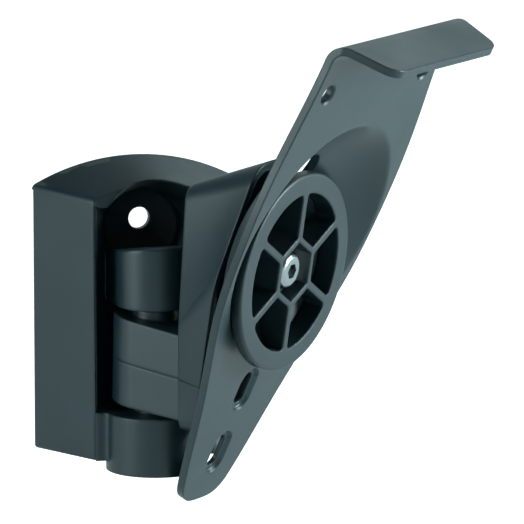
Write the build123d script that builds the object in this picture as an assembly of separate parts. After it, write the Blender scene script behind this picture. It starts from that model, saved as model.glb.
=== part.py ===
from build123d import *
import os
from math import cos, radians, sin, sqrt, tan

# A swivelling and tilting wall bracket for a loudspeaker, in millimetres.
# The wall is the plane Y = 0 and the bracket stands out along -Y, with Z up.
# The origin is the middle of the wall face.

REACH = 150.0             # longer than anything here, for cuts that go right through
OVERLAP = 1.0             # how far a cut or a joined form runs past its neighbour

# Housing against the wall
BACK_HALF = 38.3          # half width of the wall face
FRONT_HALF = 23.1         # half width of the front edges
DEPTH = 28.8              # from the wall to the front edges
BOTTOM_Z = -48.75
BACK_CORNER_Z = 48.75     # where the sides end and the arch starts, at the wall
FRONT_CORNER_Z = 47.5     # the same corner at the front
BACK_PEAK_Z = 58.5        # crown of the arch at the wall
FRONT_PEAK_Z = 52.0       # crown of the arch at the front
WALL = 3.0                # thickness of the moulded walls
CORNER_ROUND = 2.5
EDGE_STEP = 3.4           # side wall of the housing, measured across
RIB_LEVELS = ((-45.7, -33.0), (-29.8, -4.0), (-1.0, 20.0), (23.0, 43.6))    # hollows between ribs
HOLLOW_HALF = 11.0        # solid middle of the wall face, half width
RELIEF_HALF = 8.0         # shallow relief in that middle
RELIEF_Y = -5.0
RELIEF_LEVELS = (7.0, 20.0)

# Hinge that swings the arm from side to side
HINGE_Y = -29.7
CAVITY_R = 21.6           # round hollow in which the arm's knuckle turns
CAVITY_TOP = 44.3
LEAF_R = 14.3             # fixed upper leaf
LEAF_BOTTOM = 8.0
LEAF_TOP = 32.0           # at its front
LEAF_FALL = 0.2           # its top falls towards the wall
LEAF_ROUND = 1.6
EAR_R = 18.3              # fixed lower ear
EAR_TOP = -31.0
EAR_BOTTOM = -52.4
EAR_STEP = 0.5            # the ear's root stands back from the housing's side
EAR_ROOT = 12.5           # how far the root reaches from the hinge towards the wall
BOLT_R = 4.0
BOLT_HEAD_R = 6.5
BOLT_HEAD_H = 8.0
BOLT_SOCKET_FLATS = 6.0
BOLT_SOCKET_DEPTH = 4.0
HEAD_GAP = 0.4            # radial clearance round the bolt's head
PIN_GAP = 0.05            # radial clearance of a pin in its bore
PRESS_GAP = 0.03          # radial clearance of a bush or an insert in its bore
WASHER_T = 1.0
WASHER_R = 8.0
NUT_FLATS = 13.0
NUT_H = 6.5
BUSH_R = 6.0
BUSH_H = 13.0
INSERT_H = 14.0           # threaded insert in the upper leaf

# Wall screw holes and the flared pocket of the upper one
SCREW_HOLE_R = 4.05
SCREW_HOLE_Z = 36.2
POCKET_Z = 33.6
POCKET_FLOOR_Y = -8.0
POCKET_FLOOR_R = 13.0
POCKET_FLARE = 20.4       # degrees
POCKET_RELIEF_R = 10.5
LOWER_HOLE_R = 2.75
LOWER_HOLE_Z = -14.0

# Arm
SWIVEL_REST = 42.0        # degrees from straight ahead, as posed
KNUCKLE_TOP_R = 15.2      # at the top of the knuckle
KNUCKLE_BOTTOM_R = 16.2   # at its foot
KNUCKLE_LEVELS = (-34.0, 10.0)
NECK_DRAW = 0.8           # the neck's sides draw in by this towards the shell
KNUCKLE_SLOPE = 0.16      # fall of the knuckle's top and of the seam along the arm
SKIRT_Z = -26.0           # height of the knuckle's underside at its back
SKIRT_SLOPE = 0.12
TURN_GAP = 0.6            # clearance between the arm and the fixed leaves
BOSS_R = 8.5
ARM_BACK = 19.2           # distance of the tall shell's back face from the hinge
ARM_HALF = 15.6           # half width of the shell's back
ARM_HEAD_HALF = 10.2      # the same at its head, which stays clear of the upper wall screw
ARM_WAIST_Z = 4.0         # height above which the back draws in
ARM_ROUNDS = (4.0, 30.0, 7.0)      # rounds of the back at its foot, waist and head
ARM_LOW = -34.0
ARM_HIGH = 55.0
RIM_MID = 38.4            # distance of the middle of the front rim from the hinge
RIM_MID_Z = 15.6
RIM_LEAN = 14.6           # degrees
RIM_HALF_HEIGHT = 52.2
RIM_HALF_WIDTH = 25.5
RIM_WAIST = 8.0           # where the rim is widest, above its middle
RIM_FOOT_HALF = 15.5
RIM_HEAD_HALF = 13.5
RIM_ROUNDS = (7.0, 34.0, 11.0)
SEAM_Z = -9.4             # height of the seam at the back of the knuckle
ARM_WALL = 3.0
ARM_FLOOR = 3.5
FLARE = 0.6               # how much the shell's side steps in or out where its sections change
INNER_STEP = 2.0          # the inner rounds are smaller by this

# Clamp that holds the plate
CLAMP_OUT = 58.9          # where the clamp axis meets the plate's front, from the hinge
CLAMP_Z = 25.5
CLAMP_DROP = 9.0          # degrees below level
PLATE_LEAN = 25.0         # degrees from upright, as posed
SEAT_GAP = 0.3            # clear space between the spherical seats
DISC_R = 36.5
DISC_ROUND = 0.8
RING_INNER_R = 29.2
SPOKE_W = 2.8
CELL_ROUND = 1.8
HUB_R = 13.6
HUB_WALL = 2.4
HUB_RECESS_DEPTH = 7.0
HUB_NECK_R = 6.5          # neck that passes through the plate's window
HUB_END_GAP = 0.8         # between the neck and the cup behind the plate
CLAMP_SCREW_R = 4.0
CLAMP_HEAD_R = 7.0
CLAMP_HEAD_H = 4.4
CLAMP_HEAD_ROUND = 2.6
SCREW_GAP = 0.2           # radial clearance of the clamp screw in the disc and cup
SOCKET_DEPTH = 3.0
CLAMP_SCREW_END = 34.5
SCREW_TIP = 1.5           # what stands out behind the nut
SOCKET_FLATS = 5.0
CLAMP_WASHER_R = 8.0
CLAMP_WASHER_T = 1.2
CUP_RING_R = 16.6
CUP_RING_INNER = 13.2
CUP_HUB_R = 9.0
CUP_DEPTH = 24.5
CUP_RIB = 2.4

# Speaker plate
PLATE_T = 3.0
DISH_RIM_R = 45.3
DISH_CENTRE_OUT = 52.0    # the dish's sphere centre, in front of the plate
DISH_ROUND = 3.0          # soft edge of the dish
WINDOW_HALF = 9.5
WINDOW_HALF_LENGTH = 27.5
LIP_V = 100.5             # outer face of the lip, up the plate
LIP_DEPTH = 22.0
LIP_BEND = 5.0            # inner radius of the bend
LIP_FRONT_HALF = 36.0
LIP_CORNER = 7.0
LIP_FLARE_FROM = 2.0      # where the lip's sides start to draw in
TOP_HOLE_R = 3.5
HOLE_CHAMFER = 0.8
TOP_HOLE_X = 33.8
TOP_HOLE_V = 78.6
SLOT_V = (-49.6, -76.4)
SLOT_W = 6.5
SLOT_L = 13.0
DIMPLE = 2.6
DIMPLE_DEPTH = 1.3
DIMPLE_SIDE = 35.0        # degrees from square
# Half widths of the plate at heights along it, from the bend to the foot
PLATE_EDGE = ((91.0, 41.2), (78.0, 42.6), (62.0, 45.4), (45.0, 47.8), (28.0, 48.4), (10.0, 47.4),
              (-8.0, 44.4), (-24.0, 38.8), (-40.0, 32.2), (-58.0, 25.6), (-80.0, 18.7), (-89.0, 15.4))
FOOT_V = -96.5
FOOT_FLAT = 8.0           # how far in from its flanks the foot levels out
FOOT_SAG = 0.5


def span(half_x, y0, y1, z0, z1):
    """A block symmetric about X = 0, between two depths and two heights."""
    return Pos(0, (y0 + y1) / 2, (z0 + z1) / 2) * Box(2 * half_x, abs(y1 - y0), abs(z1 - z0))


def post(radius, z0, z1):
    """An upright cylinder on the hinge axis between two heights."""
    return Pos(0, HINGE_Y, (z0 + z1) / 2) * Cylinder(radius, abs(z1 - z0))


def ring(outer, inner, z0, z1):
    """An upright washer or sleeve on the hinge axis."""
    return post(outer, z0, z1) - post(inner, z0 - 1, z1 + 1)


def hex_prism(flats, z0, z1):
    """A hexagonal prism along Z, by its width across flats."""
    return extrude(Pos(0, 0, z0) * RegularPolygon(flats / 2, 6, major_radius=False), z1 - z0)


def rod(radius, z0, z1):
    """A cylinder along local Z between two stations."""
    return Pos(0, 0, (z0 + z1) / 2) * Cylinder(radius, abs(z1 - z0))


def leaning(out, z, lean):
    """A frame on the arm, leaning forward: X across, Y up the face, Z outward."""
    return Plane(origin=(0, HINGE_Y - out, z), x_dir=(1, 0, 0),
                 z_dir=(0, -cos(radians(lean)), -sin(radians(lean))))


def swing(part):
    """Turns a part of the arm from straight ahead to the posed swivel angle."""
    return part.rotate(Axis((0, HINGE_Y, 0), (0, 0, 1)), SWIVEL_REST)


def arch_face(plane, half, corner, peak):
    """An upright outline with a flat foot, straight sides and an arched top."""
    sides = Polyline((-half, corner), (-half, BOTTOM_Z), (half, BOTTOM_Z), (half, corner))
    arch = ThreePointArc((half, corner), (0, peak), (-half, corner))
    return plane * make_face([sides, arch])


def six_sided(plane, low, high, foot, waist, waist_at, head, rounds):
    """A symmetric rounded six-cornered outline, wide at the waist."""
    face = make_face(Polyline((-foot, low), (foot, low), (waist, waist_at), (head, high),
                              (-head, high), (-waist, waist_at), (-foot, low)))
    for at, radius in zip((low, waist_at, high), rounds):
        corners = face.vertices().filter_by_position(Axis.Y, at - 0.01, at + 0.01)
        face = fillet(corners, radius)
    return plane * face


def below(level, slope):
    """All space under a plane that falls along the arm, given its height at the knuckle's back."""
    back = HINGE_Y + KNUCKLE_TOP_R
    high = (back + REACH, level + REACH * slope)
    far = (back - REACH, level - REACH * slope)
    side = make_face(Plane.YZ * Polyline(high, far, (back - REACH, -2 * REACH), (back + REACH, -2 * REACH), high))
    return extrude(side, REACH, both=True)


def knuckle_outline(radius, z):
    """The knuckle's outline at a height: round at the back, drawn in where it joins the shell."""
    end = -(ARM_BACK + ARM_FLOOR)
    neck = radius - NECK_DRAW
    sides = Polyline((radius, 0), (neck, end), (-neck, end), (-radius, 0))
    back = ThreePointArc((-radius, 0), (0, radius), (radius, 0))
    return Pos(0, HINGE_Y, z) * make_face([sides, back])


def dish_radius():
    """Radius of the sphere to which the dish's front is pressed."""
    return sqrt(DISH_CENTRE_OUT ** 2 + DISH_RIM_R ** 2)


def screw_pocket(skin):
    """The flared pocket round the upper wall screw, grown by a skin."""
    flare = Cone(POCKET_FLOOR_R + skin, POCKET_FLOOR_R + skin + REACH * tan(radians(POCKET_FLARE)), REACH)
    pocket = Pos(0, POCKET_FLOOR_Y - REACH / 2, POCKET_Z) * Rot(90, 0, 0) * flare
    if skin:
        behind = 2 * (skin - POCKET_FLOOR_Y)
        pocket += Pos(0, 0, POCKET_Z) * Rot(90, 0, 0) * Cylinder(POCKET_FLOOR_R + skin, behind)
    return pocket


def wall_hole(z, radius, front):
    """A screw hole from the wall to a depth."""
    deep = OVERLAP - front
    return Pos(0, OVERLAP - (deep + OVERLAP) / 2, z) * Rot(90, 0, 0) * Cylinder(radius, deep + OVERLAP)


def upper_leaf():
    """The fixed upper leaf, a web of the housing whose top falls towards the wall."""
    front = HINGE_Y - LEAF_R
    leaf = post(LEAF_R, LEAF_BOTTOM, LEAF_TOP) + span(LEAF_R, HINGE_Y, RELIEF_Y, LEAF_BOTTOM, LEAF_TOP)
    high = (front - OVERLAP, LEAF_TOP + OVERLAP * LEAF_FALL)
    low = (OVERLAP, LEAF_TOP + LEAF_FALL * (front - OVERLAP))
    above = make_face(Plane.YZ * Polyline(high, low, (OVERLAP, REACH), (front - OVERLAP, REACH), high))
    leaf -= extrude(above, REACH, both=True)
    top_rim = leaf.faces().sort_by(Axis.Z)[-1].edges()
    return fillet([e for e in top_rim if e.center().Y < POCKET_FLOOR_Y], LEAF_ROUND)


def wall_housing():
    """The moulded wall housing, with its fixed upper leaf and lower ear in one piece."""
    back = Plane(origin=(0, 0, 0), x_dir=(1, 0, 0), z_dir=(0, -1, 0))
    front = Plane(origin=(0, -DEPTH, 0), x_dir=(1, 0, 0), z_dir=(0, -1, 0))
    body = loft([arch_face(back, BACK_HALF, BACK_CORNER_Z, BACK_PEAK_Z),
                 arch_face(front, FRONT_HALF, FRONT_CORNER_Z, FRONT_PEAK_Z)])
    from_wall_to_front = [e for e in body.edges() if abs(e.center().Y + DEPTH / 2) < OVERLAP]
    shoulders = [e for e in from_wall_to_front if e.center().Z > 0]
    body = fillet(shoulders, CORNER_ROUND)
    side_half = FRONT_HALF - EAR_STEP
    root = Circle(EAR_R) + Pos(0, EAR_ROOT / 2) * Rectangle(2 * side_half, EAR_ROOT)
    notches = [v for v in root.vertices() if v.Y < OVERLAP and abs(v.X) < side_half - EAR_STEP]
    root = fillet(notches, 0.55 * (side_half - EAR_R))
    body += extrude(Pos(0, HINGE_Y, BOTTOM_Z) * root, EAR_TOP - BOTTOM_Z)
    body += post(EAR_R, EAR_BOTTOM, EAR_TOP)
    body -= post(CAVITY_R, EAR_TOP, CAVITY_TOP)
    body -= screw_pocket(0)
    body += upper_leaf()
    inner_back = BACK_HALF - EDGE_STEP
    inner_front = FRONT_HALF - EDGE_STEP
    side = make_face(Polyline((HOLLOW_HALF, OVERLAP), (inner_back, OVERLAP), (inner_front, -DEPTH),
                              (HOLLOW_HALF, -DEPTH), (HOLLOW_HALF, OVERLAP)))
    hollow = side - Pos(0, HINGE_Y) * Circle(CAVITY_R + WALL)
    for low, high in RIB_LEVELS:
        block = extrude(Pos(0, 0, low) * hollow, high - low) - screw_pocket(WALL)
        body -= block
        body -= mirror(block, Plane.YZ)
    body -= span(RELIEF_HALF, OVERLAP, RELIEF_Y, *RELIEF_LEVELS)
    body -= Pos(0, 0, POCKET_Z) * Rot(90, 0, 0) * Cylinder(POCKET_RELIEF_R, 2 * (-POCKET_FLOOR_Y - WALL))
    body -= wall_hole(SCREW_HOLE_Z, SCREW_HOLE_R, POCKET_FLOOR_Y)
    body -= wall_hole(LOWER_HOLE_Z, LOWER_HOLE_R, HINGE_Y)
    body -= post(BOLT_R + PIN_GAP, EAR_BOTTOM - OVERLAP, EAR_TOP + OVERLAP)
    head_room = BOLT_HEAD_H + 2 * WASHER_T
    body -= post(BOLT_HEAD_R + HEAD_GAP, EAR_BOTTOM - OVERLAP, EAR_BOTTOM + head_room)
    body -= post(BUSH_R + PRESS_GAP, LEAF_BOTTOM - OVERLAP, LEAF_BOTTOM + INSERT_H)
    return body


def hinge_parts():
    """The bolt, its washer and its threaded insert, which stay with the housing."""
    head_top = EAR_BOTTOM + BOLT_HEAD_H + WASHER_T
    insert_top = LEAF_BOTTOM + INSERT_H
    head_low = EAR_BOTTOM + WASHER_T
    socket = Pos(0, HINGE_Y, 0) * hex_prism(BOLT_SOCKET_FLATS, head_low - OVERLAP, head_low + BOLT_SOCKET_DEPTH)
    bolt = post(BOLT_HEAD_R, head_low, head_top) + post(BOLT_R, head_top, insert_top - OVERLAP)
    return {
        "hinge_bolt": bolt - socket,
        "hinge_washer": ring(BOLT_HEAD_R, BOLT_R + PIN_GAP, head_top, head_top + WASHER_T),
        "hinge_insert": ring(BUSH_R, BOLT_R + PIN_GAP, LEAF_BOTTOM, insert_top),
    }


def arm_body():
    """The arm as one solid: knuckle, neck and the flaring hollow shell."""
    back = Plane(origin=(0, HINGE_Y - ARM_BACK, 0), x_dir=(1, 0, 0), z_dir=(0, -1, 0))
    floor = Plane(origin=(0, HINGE_Y - ARM_BACK - ARM_FLOOR, 0), x_dir=(1, 0, 0), z_dir=(0, -1, 0))
    rim = leaning(RIM_MID, RIM_MID_Z, RIM_LEAN)
    beyond = leaning(RIM_MID + OVERLAP, RIM_MID_Z, RIM_LEAN)
    tall = RIM_HALF_HEIGHT
    w = ARM_WALL
    outer = loft([
        six_sided(back, ARM_LOW, ARM_HIGH, ARM_HALF, ARM_HALF, ARM_WAIST_Z, ARM_HEAD_HALF, ARM_ROUNDS),
        six_sided(rim, -tall, tall, RIM_FOOT_HALF, RIM_HALF_WIDTH, RIM_WAIST, RIM_HEAD_HALF, RIM_ROUNDS)])
    inner = loft([
        six_sided(floor, ARM_LOW + w, ARM_HIGH - w, ARM_HALF - w, ARM_HALF + FLARE - w, ARM_WAIST_Z,
                  ARM_HEAD_HALF + FLARE - w, [r - INNER_STEP for r in ARM_ROUNDS]),
        six_sided(beyond, w - tall, tall - w, RIM_FOOT_HALF + FLARE - w, RIM_HALF_WIDTH + FLARE - w, RIM_WAIST,
                  RIM_HEAD_HALF + FLARE - w, [r - INNER_STEP for r in RIM_ROUNDS])])
    foot_z, head_z = KNUCKLE_LEVELS
    knuckle = loft([knuckle_outline(KNUCKLE_BOTTOM_R, foot_z), knuckle_outline(KNUCKLE_TOP_R, head_z)])
    low = below(SKIRT_Z, SKIRT_SLOPE)
    high = below(LEAF_BOTTOM - WASHER_T - TURN_GAP, KNUCKLE_SLOPE)
    joint = (knuckle & high) - low
    keep_out = post(ARM_BACK - TURN_GAP, EAR_TOP - REACH, EAR_TOP + TURN_GAP)
    joint += post(BOSS_R, EAR_TOP + WASHER_T, LEAF_BOTTOM - WASHER_T)
    body = (joint + outer) - inner - keep_out
    return body - post(BUSH_R + PRESS_GAP, EAR_TOP, LEAF_BOTTOM)


def arm_parts():
    """The arm's shell and lower cover, split at the seam, and the bushes and washers."""
    body = arm_body()
    under = below(SEAM_Z, KNUCKLE_SLOPE)
    top = LEAF_BOTTOM - WASHER_T
    low = EAR_TOP + WASHER_T
    return {
        "arm_shell": body - under,
        "arm_lower_cover": body & under,
        "bush_upper": ring(BUSH_R, BOLT_R + PIN_GAP, top - BUSH_H, top),
        "bush_lower": ring(BUSH_R, BOLT_R + PIN_GAP, low, low + BUSH_H),
        "swivel_washer_upper": ring(WASHER_R, BOLT_R + PIN_GAP, top, LEAF_BOTTOM),
        "swivel_washer_lower": ring(WASHER_R, BOLT_R + PIN_GAP, EAR_TOP, low),
    }


def clamp_parts():
    """The parts on the clamp axis, built with that axis along Z and the plate's front at Z = 0."""
    centre = DISH_CENTRE_OUT / cos(radians(PLATE_LEAN - CLAMP_DROP))
    front_seat = dish_radius() - SEAT_GAP
    back_seat = dish_radius() + PLATE_T + SEAT_GAP
    disc = rod(DISC_R, centre - front_seat - OVERLAP, 0) & (Pos(0, 0, centre) * Sphere(front_seat))
    disc_edge = sqrt(front_seat ** 2 - DISC_R ** 2) - centre
    front_rim = disc.edges().filter_by(GeomType.CIRCLE).sort_by(Axis.Z)[-1]
    disc = fillet(front_rim, min(DISC_ROUND, disc_edge / 2))
    disc += rod(HUB_NECK_R, centre - back_seat + HUB_END_GAP, -HUB_RECESS_DEPTH)
    cells = Circle(RING_INNER_R) - RegularPolygon(HUB_R, 6, rotation=30)
    for turn in range(3):
        cells -= Rot(0, 0, 30 + 60 * turn) * Rectangle(2 * DISC_R, SPOKE_W)
    cells = fillet(cells.vertices(), CELL_ROUND)
    disc -= extrude(Pos(0, 0, -REACH) * cells, 2 * REACH)
    disc -= extrude(Pos(0, 0, -HUB_RECESS_DEPTH) * RegularPolygon(HUB_R - HUB_WALL, 6, rotation=30), REACH)
    screw_way = rod(CLAMP_SCREW_R + SCREW_GAP, -REACH, REACH)
    thread_way = rod(CLAMP_SCREW_R + PIN_GAP, -REACH, REACH)
    under_head = CLAMP_WASHER_T - HUB_RECESS_DEPTH
    washer = rod(CLAMP_WASHER_R, -HUB_RECESS_DEPTH, under_head) - thread_way
    head = rod(CLAMP_HEAD_R, under_head, under_head + CLAMP_HEAD_H)
    head = fillet(head.edges().sort_by(Axis.Z)[-1], CLAMP_HEAD_ROUND)
    screw = head + rod(CLAMP_SCREW_R, -CLAMP_SCREW_END, under_head)
    screw -= hex_prism(SOCKET_FLATS, under_head + CLAMP_HEAD_H - SOCKET_DEPTH, REACH)
    nut_back = SCREW_TIP - CLAMP_SCREW_END
    nut = hex_prism(NUT_FLATS, nut_back, nut_back + NUT_H) - thread_way
    cup = rod(CUP_RING_R, -CUP_DEPTH, 0) - rod(CUP_RING_INNER, -REACH, REACH)
    cup += rod(CUP_HUB_R, -CLAMP_OUT, 0)
    for turn in range(3):
        rib = Pos(0, 0, -CUP_DEPTH / 2) * Box(CUP_RING_R + CUP_RING_INNER, CUP_RIB, CUP_DEPTH)
        cup += Rot(0, 0, 60 * turn) * rib
    cup -= Pos(0, 0, centre) * Sphere(back_seat)
    cup -= screw_way
    cup -= hex_prism(NUT_FLATS + 2 * PIN_GAP, -REACH, nut_back + NUT_H)
    at = leaning(CLAMP_OUT, CLAMP_Z, CLAMP_DROP)
    placed = {"clamp_disc": disc - screw_way, "clamp_washer": washer, "clamp_screw": screw,
              "clamp_nut": nut, "clamp_cup": cup}
    placed = {name: at.location * part for name, part in placed.items()}
    placed["clamp_cup"] -= span(REACH, 0, HINGE_Y - ARM_BACK - ARM_FLOOR, -REACH, REACH)
    placed["clamp_cup"] -= arm_body()
    return placed


def plate():
    """The pressed speaker plate, built with its front face at Z = 0 and Y up the plate."""
    left = [(-half, at) for at, half in PLATE_EDGE]
    right = [(half, at) for at, half in reversed(PLATE_EDGE)]
    foot_at, foot_half = PLATE_EDGE[-1]
    top_at, top_half = PLATE_EDGE[0]
    flank_l = Spline(*left)
    flank_r = Spline(*right)
    level = FOOT_V + FOOT_SAG
    toe = Spline((-foot_half, foot_at), (FOOT_FLAT - foot_half, level), (0, FOOT_V),
                 (foot_half - FOOT_FLAT, level), (foot_half, foot_at))
    head = Line((top_half, top_at), (-top_half, top_at))
    blank = extrude(make_face([flank_l, toe, flank_r, head]), -PLATE_T)
    offset = DISH_CENTRE_OUT * tan(radians(PLATE_LEAN - CLAMP_DROP))
    centre = Pos(0, offset, DISH_CENTRE_OUT)
    behind = Pos(0, 0, -PLATE_T - REACH / 2) * Box(2 * REACH, 2 * REACH, REACH)
    body = blank + ((centre * Sphere(dish_radius() + PLATE_T)) & behind)
    body -= centre * Sphere(dish_radius())
    rim = [e for e in body.edges().filter_by(GeomType.CIRCLE) if abs(e.center().Z) < PIN_GAP]
    body = fillet(rim, DISH_ROUND)
    lip_in = LIP_V - PLATE_T
    bend_v = lip_in - LIP_BEND
    outer_r = LIP_BEND + PLATE_T
    half_turn = sin(radians(45))
    outline = [
        Line((top_at, -PLATE_T), (bend_v, -PLATE_T)),
        ThreePointArc((bend_v, -PLATE_T), (bend_v + outer_r * half_turn, LIP_BEND - outer_r * half_turn),
                      (LIP_V, LIP_BEND)),
        Polyline((LIP_V, LIP_BEND), (LIP_V, LIP_DEPTH), (lip_in, LIP_DEPTH), (lip_in, LIP_BEND)),
        ThreePointArc((lip_in, LIP_BEND), (bend_v + LIP_BEND * half_turn, LIP_BEND - LIP_BEND * half_turn),
                      (bend_v, 0)),
        Polyline((bend_v, 0), (top_at, 0), (top_at, -PLATE_T)),
    ]
    lip = extrude(Plane.YZ * make_face(outline), top_half, both=True)
    low = -2 * PLATE_T
    flare = LIP_FLARE_FROM
    seen = make_face(Polyline((-top_half, low), (-top_half, flare), (-LIP_FRONT_HALF, LIP_DEPTH),
                              (LIP_FRONT_HALF, LIP_DEPTH), (top_half, flare), (top_half, low), (-top_half, low)))
    front_corners = seen.vertices().sort_by(Axis.Y)[-2:]
    seen = fillet(front_corners, LIP_CORNER)
    lip &= extrude(Plane(origin=(0, 0, 0), x_dir=(-1, 0, 0), z_dir=(0, 1, 0)) * seen, REACH)
    body += lip
    window = Pos(0, offset, -REACH) * SlotOverall(2 * WINDOW_HALF_LENGTH, 2 * WINDOW_HALF, rotation=90)
    body -= extrude(window, REACH)
    sink = HOLE_CHAMFER
    for side in (-1, 1):
        place = Pos(side * TOP_HOLE_X, TOP_HOLE_V, 0)
        body -= place * rod(TOP_HOLE_R, -2 * PLATE_T, PLATE_T)
        body -= place * Pos(0, 0, -sink / 2) * Cone(TOP_HOLE_R, TOP_HOLE_R + sink, sink)
    for v in SLOT_V:
        body -= extrude(Pos(0, v, -2 * PLATE_T) * SlotOverall(SLOT_L, SLOT_W, rotation=90), 3 * PLATE_T)
        dimple = Pos(0, v, 0) * SlotOverall(SLOT_L + 2 * DIMPLE, SLOT_W + 2 * DIMPLE, rotation=90)
        body -= extrude(dimple, -DIMPLE_DEPTH, taper=DIMPLE_SIDE)
    return body


def lean_plate(body):
    """Puts the finished plate at its posed lean in front of the arm."""
    return leaning(CLAMP_OUT, CLAMP_Z, PLATE_LEAN).location * body


if __name__ == "__main__":
    os.makedirs("parts", exist_ok=True)
    nodes = {"wall_housing": wall_housing()}
    nodes.update(hinge_parts())
    arm = arm_parts()
    arm.update(clamp_parts())
    arm["speaker_plate"] = lean_plate(plate())
    nodes.update({name: swing(part) for name, part in arm.items()})
    for name, shape in nodes.items():
        box = shape.bounding_box()
        print(name, shape.is_valid, round(shape.volume, 1), len(shape.solids()),
              [round(v, 1) for v in (*box.min, *box.max)])
        export_step(shape, f"parts/{name}.step")
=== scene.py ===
import logging
import math
from dataclasses import dataclass
from enum import Enum
from typing import Sequence

import bmesh
import bpy
import numpy as np
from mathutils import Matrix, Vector


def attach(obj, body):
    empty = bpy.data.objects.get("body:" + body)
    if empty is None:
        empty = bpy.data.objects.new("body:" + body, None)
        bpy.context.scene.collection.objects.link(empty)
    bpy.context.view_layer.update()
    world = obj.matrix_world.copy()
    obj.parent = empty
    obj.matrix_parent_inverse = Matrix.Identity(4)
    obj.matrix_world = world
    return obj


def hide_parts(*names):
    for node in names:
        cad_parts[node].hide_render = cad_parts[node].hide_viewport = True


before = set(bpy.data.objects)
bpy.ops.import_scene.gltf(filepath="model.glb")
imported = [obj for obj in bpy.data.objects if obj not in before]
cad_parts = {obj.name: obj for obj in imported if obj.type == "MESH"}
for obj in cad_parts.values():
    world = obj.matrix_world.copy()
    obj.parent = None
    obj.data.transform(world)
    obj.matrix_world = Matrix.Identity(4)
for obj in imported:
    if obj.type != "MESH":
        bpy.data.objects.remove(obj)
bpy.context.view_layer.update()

MM = 0.001

# Points nearer than this are one point, and faces that turn by less than this are one flat face
MERGE_MM = 0.002
FLAT_DEG = 0.1
# Edges that turn by more than this stay crisp, and the long ones may be rounded in a few steps
CREASE_DEG = 32.0
LONG_MM = 20.0
ROUND_STEPS = 3
# How far large flat faces rule the shading, out of 100
FLAT_FACE_WEIGHT = 90

# Octaves of the fine grain and of the slow drift, and how strong the grain's smaller ones are
GRAIN_DETAIL = 3.0
GRAIN_ROUGHNESS = 0.6
DRIFT_DETAIL = 2.0
GRAIN_STRENGTH = 0.5
EDGE_SAMPLES = 6
# The drift's values between which the tone and the roughness go from one end to the other
TONE_SPAN = (0.35, 0.65)
GLOSS_SPAN = (0.3, 0.7)

# Sockets that Blender knows only by number: a maths node's terms, and a mix node set to colour
FIRST, SECOND, THIRD = 0, 1, 2
MIX_FACTOR, MIX_FROM, MIX_TO, MIX_RESULT = 0, 6, 7, 2

STUDIO_LIGHT = "#e1f8fa"
WHITE = "#ffffff"
MATTE_PAPER = "#f0f0f0"

logging.basicConfig(level=logging.INFO, format="%(message)s")
log = logging.getLogger("wall_bracket")


class Body(Enum):
    """The moving groups of the bracket."""

    WALL = "wall"
    ARM = "arm"
    PLATE = "plate"


class Slot(Enum):
    """The record's material slots, which no piece here takes."""

    HOUSING = "housing_black"
    ARM = "arm_black"
    DISC = "disc_black"
    PLATE = "plate_black"


def srgb(code: str) -> tuple[float, float, float, float]:
    """Turn a hex sRGB colour into linear light.

    Args:
        code: Six hex digits with a leading hash.

    Returns:
        Linear red, green, blue and an alpha of one.
    """
    parts = [int(code[i:i + 2], 16) / 255 for i in (1, 3, 5)]
    linear = [c / 12.92 if c <= 0.04045 else ((c + 0.055) / 1.055) ** 2.4 for c in parts]
    return (*linear, 1.0)


def add_node(tree: bpy.types.NodeTree, kind: str, settings: dict | None = None,
             links: dict | None = None, **attributes: object) -> bpy.types.Node:
    """Add one shader node with its values and incoming links.

    Args:
        tree: The node tree that receives it.
        kind: Blender's name of the node type.
        settings: Input values by socket name or number.
        links: Output sockets to join, by the name or number of the input they go to.
        attributes: Properties of the node itself.

    Returns:
        The new node.
    """
    node = tree.nodes.new(kind)
    for key, value in attributes.items():
        setattr(node, key, value)
    for key, value in (settings or {}).items():
        node.inputs[key].default_value = value
    for key, source in (links or {}).items():
        tree.links.new(source, node.inputs[key])
    return node


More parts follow.
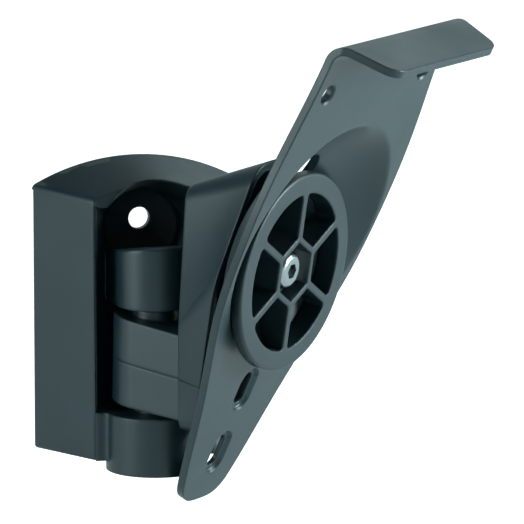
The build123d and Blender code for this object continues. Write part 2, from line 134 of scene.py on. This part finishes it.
@dataclass(frozen=True)
class Finish:
    """A surface finish: what the real material is and how light meets it.

    Handling shows as a slow drift of tone and roughness across the surface.

    Attributes:
        name: The material's common name and how its surface was made.
        colour: Hex colour at one end of the drift.
        tone: Hex colour at its other end.
        roughness: Middle of the roughness.
        grain_mm: Size of the fine grain.
        relief_mm: Height of that grain.
        drift: How far the roughness goes either way of its middle.
        drift_mm: Size of the drift's patches.
        metallic: One for a metal, zero for the rest.
        ior: Index of refraction of what isn't a metal.
        edge_mm: How wide a sharp edge catches the light.
    """

    name: str
    colour: str
    tone: str
    roughness: float
    grain_mm: float
    relief_mm: float
    drift: float = 0.05
    drift_mm: float = 26.0
    metallic: float = 0.0
    ior: float = 1.5
    edge_mm: float = 0.3

    def material(self) -> bpy.types.Material:
        """Build the procedural material on Object coordinates.

        Returns:
            The material, made once and reused by name.
        """
        made = bpy.data.materials.get(self.name)
        if made:
            return made
        made = bpy.data.materials.new(self.name)
        made.use_nodes = True
        tree = made.node_tree
        tree.nodes.clear()
        place = add_node(tree, "ShaderNodeTexCoord").outputs["Object"]
        fine = add_node(tree, "ShaderNodeTexNoise",
                        {"Scale": 1.0 / (self.grain_mm * MM), "Detail": GRAIN_DETAIL,
                         "Roughness": GRAIN_ROUGHNESS}, {"Vector": place})
        broad = add_node(tree, "ShaderNodeTexNoise",
                         {"Scale": 1.0 / (self.drift_mm * MM), "Detail": DRIFT_DETAIL},
                         {"Vector": place})
        ramp = add_node(tree, "ShaderNodeValToRGB", links={"Fac": broad.outputs["Fac"]})
        stops = zip(ramp.color_ramp.elements, TONE_SPAN, (self.colour, self.tone))
        for stop, position, code in stops:
            stop.position = position
            stop.color = srgb(code)
        soft = add_node(tree, "ShaderNodeBevel", {"Radius": self.edge_mm * MM},
                        samples=EDGE_SAMPLES)
        bump = add_node(tree, "ShaderNodeBump",
                        {"Strength": GRAIN_STRENGTH, "Distance": self.relief_mm * MM},
                        {"Height": fine.outputs["Fac"], "Normal": soft.outputs["Normal"]})
        rough = add_node(tree, "ShaderNodeMapRange",
                         {"From Min": GLOSS_SPAN[0], "From Max": GLOSS_SPAN[1],
                          "To Min": self.roughness - self.drift,
                          "To Max": self.roughness + self.drift},
                         {"Value": broad.outputs["Fac"]})
        shader = add_node(tree, "ShaderNodeBsdfPrincipled", {"Metallic": self.metallic},
                          {"Base Color": ramp.outputs["Color"], "Normal": bump.outputs["Normal"],
                           "Roughness": rough.outputs["Result"]})
        if not self.metallic:
            shader.inputs["IOR"].default_value = self.ior
        add_node(tree, "ShaderNodeOutputMaterial", links={"Surface": shader.outputs["BSDF"]})
        return made


# Glass-filled nylon, injection moulded in black: satin, with the fine even grain of a
# spark-eroded mould, under 0.2 mm in the real one and drawn coarser to show
BLACK_NYLON = Finish(name="glass_filled_nylon_moulded", colour="#14262c", tone="#182b31",
                     roughness=0.40, grain_mm=0.45, relief_mm=0.03, edge_mm=1.3)
# Pressed steel under black powder coat: smoother and glossier, with a faint orange peel
POWDER_COAT = Finish(name="pressed_steel_powder_coated", colour="#1a2c31", tone="#1f3035",
                     roughness=0.36, grain_mm=0.9, relief_mm=0.02, edge_mm=0.9)
# Zinc-plated steel: bright and cool, almost smooth, its crystals drawn coarser to show
BRIGHT_ZINC = Finish(name="zinc_plated_steel", colour="#9aa1a4", tone="#b0b6b8",
                     roughness=0.26, grain_mm=0.3, relief_mm=0.004, metallic=1.0)
# Black acetal, turned: slightly waxy, its tool marks drawn coarser to show
ACETAL = Finish(name="black_acetal_turned", colour="#15191b", tone="#191d1f",
                roughness=0.34, grain_mm=0.4, relief_mm=0.004)
# Free-cutting brass, turned: yellow and bright, its tool marks drawn coarser to show
BRASS = Finish(name="brass_turned", colour="#c9a95c", tone="#d3b56b",
               roughness=0.3, grain_mm=0.3, relief_mm=0.004, metallic=1.0)


def clean_copy(node: str, whole_faces: bool = True) -> bpy.types.Mesh:
    """Copy a CAD node's mesh with its loose triangles merged.

    Args:
        node: The CAD node.
        whole_faces: Join each flat face into one, or only pair its triangles, which a bevel
            needs.

    Returns:
        The new mesh.
    """
    work = bmesh.new()
    work.from_mesh(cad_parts[node].data)
    bmesh.ops.remove_doubles(work, verts=work.verts, dist=MERGE_MM * MM)
    bmesh.ops.dissolve_degenerate(work, edges=work.edges, dist=MERGE_MM * MM)
    flat = math.radians(FLAT_DEG)
    if whole_faces:
        bmesh.ops.dissolve_limit(work, angle_limit=flat, verts=work.verts, edges=work.edges)
    else:
        bmesh.ops.join_triangles(work, faces=work.faces, angle_face_threshold=flat,
                                 angle_shape_threshold=math.pi)
    mesh = bpy.data.meshes.new(node + "_clean")
    work.to_mesh(mesh)
    work.free()
    return mesh


def weigh_long_edges(mesh: bpy.types.Mesh) -> None:
    """Mark the long, straight, sharp edges of a mesh for rounding.

    Args:
        mesh: The mesh.
    """
    sharp = math.radians(CREASE_DEG)
    work = bmesh.new()
    work.from_mesh(mesh)
    layer = work.edges.layers.float.new("bevel_weight_edge")
    for edge in work.edges:
        if edge.calc_length() > LONG_MM * MM and edge.calc_face_angle(0.0) > sharp:
            edge[layer] = 1.0
    work.to_mesh(mesh)
    work.free()


def finish_piece(name: str, mesh: bpy.types.Mesh, body: Body, finish: Finish,
                 replaced: Sequence[str], edge_mm: float = 0.0) -> None:
    """Put a mesh in the scene as one dressed piece.

    Args:
        name: The piece's name.
        mesh: Its mesh, already in its place.
        body: The body that it rides on.
        finish: The finish itself.
        replaced: CAD nodes that it stands for.
        edge_mm: Width of the rounding on its long edges, or zero for none.
    """
    piece = bpy.data.objects.new(name, mesh)
    bpy.context.scene.collection.objects.link(piece)
    mesh.materials.clear()
    mesh.materials.append(finish.material())
    mesh.polygons.foreach_set("use_smooth", np.ones(len(mesh.polygons), bool))
    mesh.set_sharp_from_angle(angle=math.radians(CREASE_DEG))
    if edge_mm:
        weigh_long_edges(mesh)
        bevel = piece.modifiers.new("soft_edges", "BEVEL")
        bevel.width = edge_mm * MM
        bevel.segments = ROUND_STEPS
        bevel.limit_method = "WEIGHT"
        bevel.use_clamp_overlap = False
    even = piece.modifiers.new("flat_faces_stay_flat", "WEIGHTED_NORMAL")
    even.mode = "FACE_AREA"
    even.weight = FLAT_FACE_WEIGHT
    even.keep_sharp = True
    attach(piece, body.value)
    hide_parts(*replaced)
    log.info("%s: %s, %d faces", name, finish.name, len(mesh.polygons))


def dress(nodes: Sequence[str], finish: Finish) -> None:
    """Give CAD nodes their finish.

    Args:
        nodes: The nodes in the frame.
        finish: The finish that they take.
    """
    for node in nodes:
        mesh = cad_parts[node].data
        mesh.materials.clear()
        mesh.materials.append(finish.material())
        log.info("%s: %s", node, finish.name)


@dataclass
class WallHousing:
    """The moulded housing against the wall, with its fixed leaf and ear."""

    edge_mm: float = 1.0
    finish: Finish = BLACK_NYLON

    def build(self) -> None:
        """Round the housing's long edges and dress it."""
        finish_piece("wall_housing_moulding", clean_copy("wall_housing", whole_faces=False),
                     Body.WALL, self.finish, ["wall_housing"], self.edge_mm)


@dataclass
class SwivelHinge:
    """The upright pin with its insert, bushes and washers."""

    steel: tuple[str, ...] = ("hinge_bolt", "hinge_washer")
    brass: tuple[str, ...] = ("hinge_insert",)
    bearings: tuple[str, ...] = ("bush_upper", "bush_lower", "swivel_washer_upper",
                                 "swivel_washer_lower")

    def build(self) -> None:
        """Dress the hinge's small parts."""
        dress(self.steel, BRIGHT_ZINC)
        dress(self.brass, BRASS)
        dress(self.bearings, ACETAL)


@dataclass
class Arm:
    """The flaring shell and its lower cover, which meet at a fine seam."""

    mouldings: tuple[str, ...] = ("arm_shell", "arm_lower_cover")
    finish: Finish = BLACK_NYLON

    def build(self) -> None:
        """Dress both mouldings."""
        for node in self.mouldings:
            finish_piece(node + "_moulding", clean_copy(node), Body.ARM, self.finish,
                         [node])


@dataclass
class Clamp:
    """The spoked disc, its zinc screw and the cup behind the plate."""

    steel: tuple[str, ...] = ("clamp_screw", "clamp_washer", "clamp_nut")
    cup: tuple[str, ...] = ("clamp_cup",)
    finish: Finish = BLACK_NYLON

    def build(self) -> None:
        """Dress the clamp's parts."""
        finish_piece("clamp_disc_moulding", clean_copy("clamp_disc"), Body.ARM,
                     self.finish, ["clamp_disc"])
        dress(self.steel, BRIGHT_ZINC)
        dress(self.cup, self.finish)


@dataclass
class SpeakerPlate:
    """The pressed and powder-coated plate."""

    finish: Finish = POWDER_COAT

    def build(self) -> None:
        """Dress the plate in its coat."""
        finish_piece("speaker_plate_pressing", clean_copy("speaker_plate"), Body.PLATE,
                     self.finish, ["speaker_plate"])


@dataclass
class Lamp:
    """One square soft lamp.

    Attributes:
        name: Where it hangs.
        place_mm: Its middle.
        size_mm: Its side.
        watts: Its power.
    """

    name: str
    place_mm: tuple[float, float, float]
    size_mm: float
    watts: float


@dataclass
class Studio:
    """Pale floor and backdrop, soft lamps, and the camera at the photograph's angle.

    Attributes:
        azimuth: The camera's angle from straight ahead, in degrees to the right.
        elevation: Its angle up, in degrees.
        distance_m: How far it stands from its target.
        clip_m: How far it sees.
        field_mm: Width of the frame at the target.
        target_mm: The point that the camera and the lamps face.
        floor_mm: Height of the floor.
        floor_reach_mm: How far the floor goes each way.
        floor_lift: The floor's own light where the camera sees it.
        floor_gloss: The floor's own light in reflections.
        horizon: Strength of the world at the horizon and below it.
        zenith: Strength of the world overhead.
        ceiling: Heights of a direction between which the one turns into the other.
        sweep: How many times brighter the world is behind the bracket.
        sweep_span: Depths of a direction between which it grows to that.
        lamps: The soft lamps.
    """

    azimuth: float = -17.0
    elevation: float = 10.5
    distance_m: float = 2.2
    clip_m: float = 20.0
    field_mm: float = 187.0
    target_mm: tuple[float, float, float] = (27.6, -71.2, 29.5)
    floor_mm: float = -75.0
    floor_reach_mm: float = 6000.0
    floor_lift: float = 0.9
    floor_gloss: float = 0.4
    horizon: float = 0.20
    zenith: float = 0.06
    ceiling: tuple[float, float] = (0.15, 0.6)
    sweep: float = 4.2
    sweep_span: tuple[float, float] = (0.5, 0.95)
    lamps: tuple[Lamp, ...] = (Lamp("soft_left", (-1300, -250, 200), 800, 13.5),
                               Lamp("soft_right", (1400, -500, 260), 700, 35),
                               Lamp("soft_top", (-100, -400, 1300), 800, 3),
                               Lamp("soft_back", (1500, 1900, 1900), 1400, 7))

    def camera(self) -> None:
        """Place the camera on a sphere round the target and aim it there."""
        az = math.radians(self.azimuth)
        el = math.radians(self.elevation)
        target = Vector(self.target_mm) * MM
        away = Vector((math.sin(az) * math.cos(el), -math.cos(az) * math.cos(el), math.sin(el)))
        data = bpy.data.cameras.new("photo_camera")
        data.lens = data.sensor_width * self.distance_m / (self.field_mm * MM)
        data.clip_end = self.clip_m
        eye = bpy.data.objects.new("photo_camera", data)
        eye.location = target + away * self.distance_m
        eye.rotation_euler = (-away).to_track_quat("-Z", "Y").to_euler()
        bpy.context.scene.collection.objects.link(eye)
        bpy.context.scene.camera = eye

    def daylight(self, tree: bpy.types.NodeTree, seen: bpy.types.Node) -> bpy.types.NodeSocket:
        """Give the cool colour of the studio's light, and plain white where the camera sees it.

        Args:
            tree: The node tree that receives it.
            seen: Its light path node.

        Returns:
            The colour output.
        """
        mix = add_node(tree, "ShaderNodeMix", {MIX_FROM: srgb(STUDIO_LIGHT), MIX_TO: srgb(WHITE)},
                       {MIX_FACTOR: seen.outputs["Is Camera Ray"]}, data_type="RGBA")
        return mix.outputs[MIX_RESULT]

    def floor(self) -> None:
        """Lay a plain white floor that keeps the object's shadow."""
        reach = self.floor_reach_mm * MM
        z = self.floor_mm * MM
        corners = [(-reach, -reach, z), (reach, -reach, z), (reach, reach, z), (-reach, reach, z)]
        mesh = bpy.data.meshes.new("studio_floor")
        mesh.from_pydata(corners, [], [(0, 1, 2, 3)])
        ground = bpy.data.objects.new("studio_floor", mesh)
        bpy.context.scene.collection.objects.link(ground)
        paper = bpy.data.materials.new("white_paper")
        paper.use_nodes = True
        tree = paper.node_tree
        tree.nodes.clear()
        seen = add_node(tree, "ShaderNodeLightPath")
        direct = add_node(tree, "ShaderNodeMath", {SECOND: self.floor_lift},
                          {FIRST: seen.outputs["Is Camera Ray"]}, operation="MULTIPLY")
        lift = add_node(tree, "ShaderNodeMath", {SECOND: self.floor_gloss},
                        {FIRST: seen.outputs["Is Glossy Ray"], THIRD: direct.outputs["Value"]},
                        operation="MULTIPLY_ADD")
        matte = add_node(tree, "ShaderNodeBsdfDiffuse", {"Color": srgb(MATTE_PAPER)})
        glow = add_node(tree, "ShaderNodeEmission",
                        links={"Strength": lift.outputs["Value"],
                               "Color": self.daylight(tree, seen)})
        both = add_node(tree, "ShaderNodeAddShader",
                        links={FIRST: matte.outputs["BSDF"], SECOND: glow.outputs["Emission"]})
        add_node(tree, "ShaderNodeOutputMaterial", links={"Surface": both.outputs["Shader"]})
        mesh.materials.append(paper)

    def world(self) -> None:
        """Light the room: a pale horizon under a dim ceiling, and brighter behind the bracket.

        It is plain white where the camera looks past the bracket.
        """
        world = bpy.data.worlds.new("studio_world")
        world.use_nodes = True
        tree = world.node_tree
        tree.nodes.clear()
        way = add_node(tree, "ShaderNodeTexCoord")
        axes = add_node(tree, "ShaderNodeSeparateXYZ", links={"Vector": way.outputs["Generated"]})
        height = add_node(tree, "ShaderNodeMapRange",
                          {"From Min": self.ceiling[0], "From Max": self.ceiling[1],
                           "To Min": self.horizon, "To Max": self.zenith},
                          {"Value": axes.outputs["Z"]})
        behind = add_node(tree, "ShaderNodeMapRange",
                          {"From Min": self.sweep_span[0], "From Max": self.sweep_span[1],
                           "To Min": 1.0, "To Max": self.sweep},
                          {"Value": axes.outputs["Y"]})
        lit = add_node(tree, "ShaderNodeMath",
                       links={FIRST: height.outputs["Result"], SECOND: behind.outputs["Result"]},
                       operation="MULTIPLY")
        seen = add_node(tree, "ShaderNodeLightPath")
        strength = add_node(tree, "ShaderNodeMath",
                            links={FIRST: seen.outputs["Is Camera Ray"],
                                   SECOND: lit.outputs["Value"]},
                            operation="MAXIMUM")
        light = add_node(tree, "ShaderNodeBackground",
                         links={"Strength": strength.outputs["Value"],
                                "Color": self.daylight(tree, seen)})
        add_node(tree, "ShaderNodeOutputWorld", links={"Surface": light.outputs["Background"]})
        bpy.context.scene.world = world

    def hang(self, lamp: Lamp) -> None:
        """Hang one soft lamp that faces the bracket.

        Args:
            lamp: The lamp.
        """
        data = bpy.data.lights.new(lamp.name, "AREA")
        data.energy = lamp.watts
        data.size = lamp.size_mm * MM
        data.color = srgb(STUDIO_LIGHT)[:3]
        hung = bpy.data.objects.new(lamp.name, data)
        hung.location = Vector(lamp.place_mm) * MM
        aim = Vector(self.target_mm) * MM - hung.location
        hung.rotation_euler = aim.to_track_quat("-Z", "Y").to_euler()
        bpy.context.scene.collection.objects.link(hung)

    def build(self) -> None:
        """Set up everything that isn't the object."""
        self.camera()
        self.floor()
        self.world()
        for lamp in self.lamps:
            self.hang(lamp)
        bpy.context.scene.view_settings.view_transform = "Standard"
        log.info("studio: camera at azimuth %.1f, elevation %.1f", self.azimuth, self.elevation)


def main() -> None:
    """Build the classes in order, each of which reports its pieces."""
    for part in (Studio(), WallHousing(), SwivelHinge(), Arm(), Clamp(), SpeakerPlate()):
        part.build()


if __name__ == "__main__":
    main()
